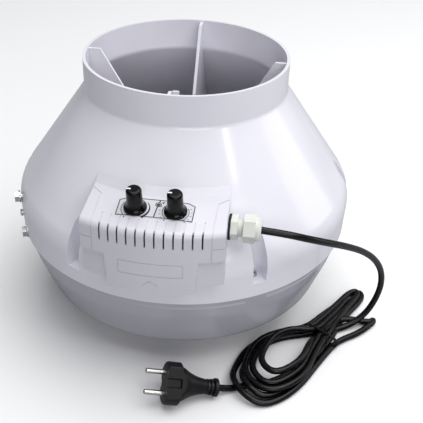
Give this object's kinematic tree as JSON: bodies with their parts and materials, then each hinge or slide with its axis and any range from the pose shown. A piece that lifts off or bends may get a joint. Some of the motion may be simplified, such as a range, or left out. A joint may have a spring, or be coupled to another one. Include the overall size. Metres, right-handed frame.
{
  "type": "inline duct fan",
  "caption": "Mixed-flow inline duct fan with two round spigots, a side control box with two dials, a cable gland and a plugged mains cord.",
  "frame": {"origin": "centre of the inlet spigot's lower rim, on the fan's axis", "axes": "+Z along the air flow from inlet to outlet, -Y towards the control box, +X the way the cable gland points"},
  "size_m": [0.3856, 0.3769, 0.2702],
  "materials": {
    "casing_white": "gloss",
    "box_white": "gloss",
    "impeller_plastic": "satin",
    "dial_print": "satin",
    "knob_black": "gloss",
    "pointer_white": "gloss",
    "lens_plastic": "gloss",
    "nylon": "satin",
    "rubber_black": "matte",
    "zinc_steel": "satin",
    "motor_steel": "satin",
    "motor_aluminium": "satin",
    "copper": "satin",
    "board_green": "satin",
    "capacitor_black": "gloss",
    "cord_pvc": "satin",
    "plug_pvc": "satin",
    "tie_wire": "satin",
    "pin_steel": "polished"
  },
  "bodies": {
    "housing": {"base_screws": "zinc_steel", "bracket_bolts": "zinc_steel", "bracket_nuts": "zinc_steel", "bracket_screw": "zinc_steel", "bracket_washers": "zinc_steel", "capacitor": "capacitor_black", "casing_screws": "zinc_steel", "circuit_board": "board_green", "control_box_base": "box_white", "control_box_cover": "box_white", "cord_hank": "cord_pvc", "cord_lead": "cord_pvc", "cord_tail": "cord_pvc", "cord_tie": "tie_wire", "dial_label": "dial_print", "gland_body": "nylon", "gland_gasket": "rubber_black", "gland_locknut": "nylon", "gland_nut": "nylon", "gland_seal": "rubber_black", "indicator_lens": "lens_plastic", "inlet_casing": "casing_white", "inlet_nozzle": "impeller_plastic", "lead_clip": "nylon", "lead_grommet": "rubber_black", "lower_bearing": "motor_steel", "motor_lead": "cord_pvc", "motor_screws": "zinc_steel", "motor_washers": "zinc_steel", "nozzle_screws": "zinc_steel", "outlet_casing": "casing_white", "plug_body": "plug_pvc", "plug_pins": "pin_steel", "speed_nut": "zinc_steel", "speed_potentiometer": "zinc_steel", "stator_core": "motor_steel", "stator_flange": "motor_aluminium", "stator_windings": "copper", "temperature_nut": "zinc_steel", "temperature_potentiometer": "zinc_steel", "terminal_block": "nylon", "upper_bearing": "motor_steel"},
    "rotor": {"rotor_can": "motor_steel", "rotor_cage": "motor_aluminium", "rotor_shaft": "motor_steel", "impeller_backplate": "impeller_plastic", "impeller_blades": "impeller_plastic", "impeller_shroud": "impeller_plastic", "impeller_rivets": "motor_steel"},
    "speed_dial": {"speed_knob": "knob_black", "speed_pointer": "pointer_white", "speed_shaft": "motor_aluminium"},
    "temperature_dial": {"temperature_knob": "knob_black", "temperature_pointer": "pointer_white", "temperature_shaft": "motor_aluminium"}
  },
  "joints": [
    {"name": "impeller_spin", "type": "hinge", "parent": "housing", "child": "rotor", "pos_m": [0, 0, 0.15], "axis": [0, 0, 1], "continuous": true},
    {"name": "speed_knob_turn", "type": "hinge", "parent": "housing", "child": "speed_dial", "pos_m": [-0.0174, -0.1534, 0.18873], "axis": [0, -0.2067, 0.9784], "range_deg": [-210, 90]},
    {"name": "temperature_knob_turn", "type": "hinge", "parent": "housing", "child": "temperature_dial", "pos_m": [0.0174, -0.1534, 0.18873], "axis": [0, -0.2067, 0.9784], "range_deg": [-210, 90]}
  ]
}
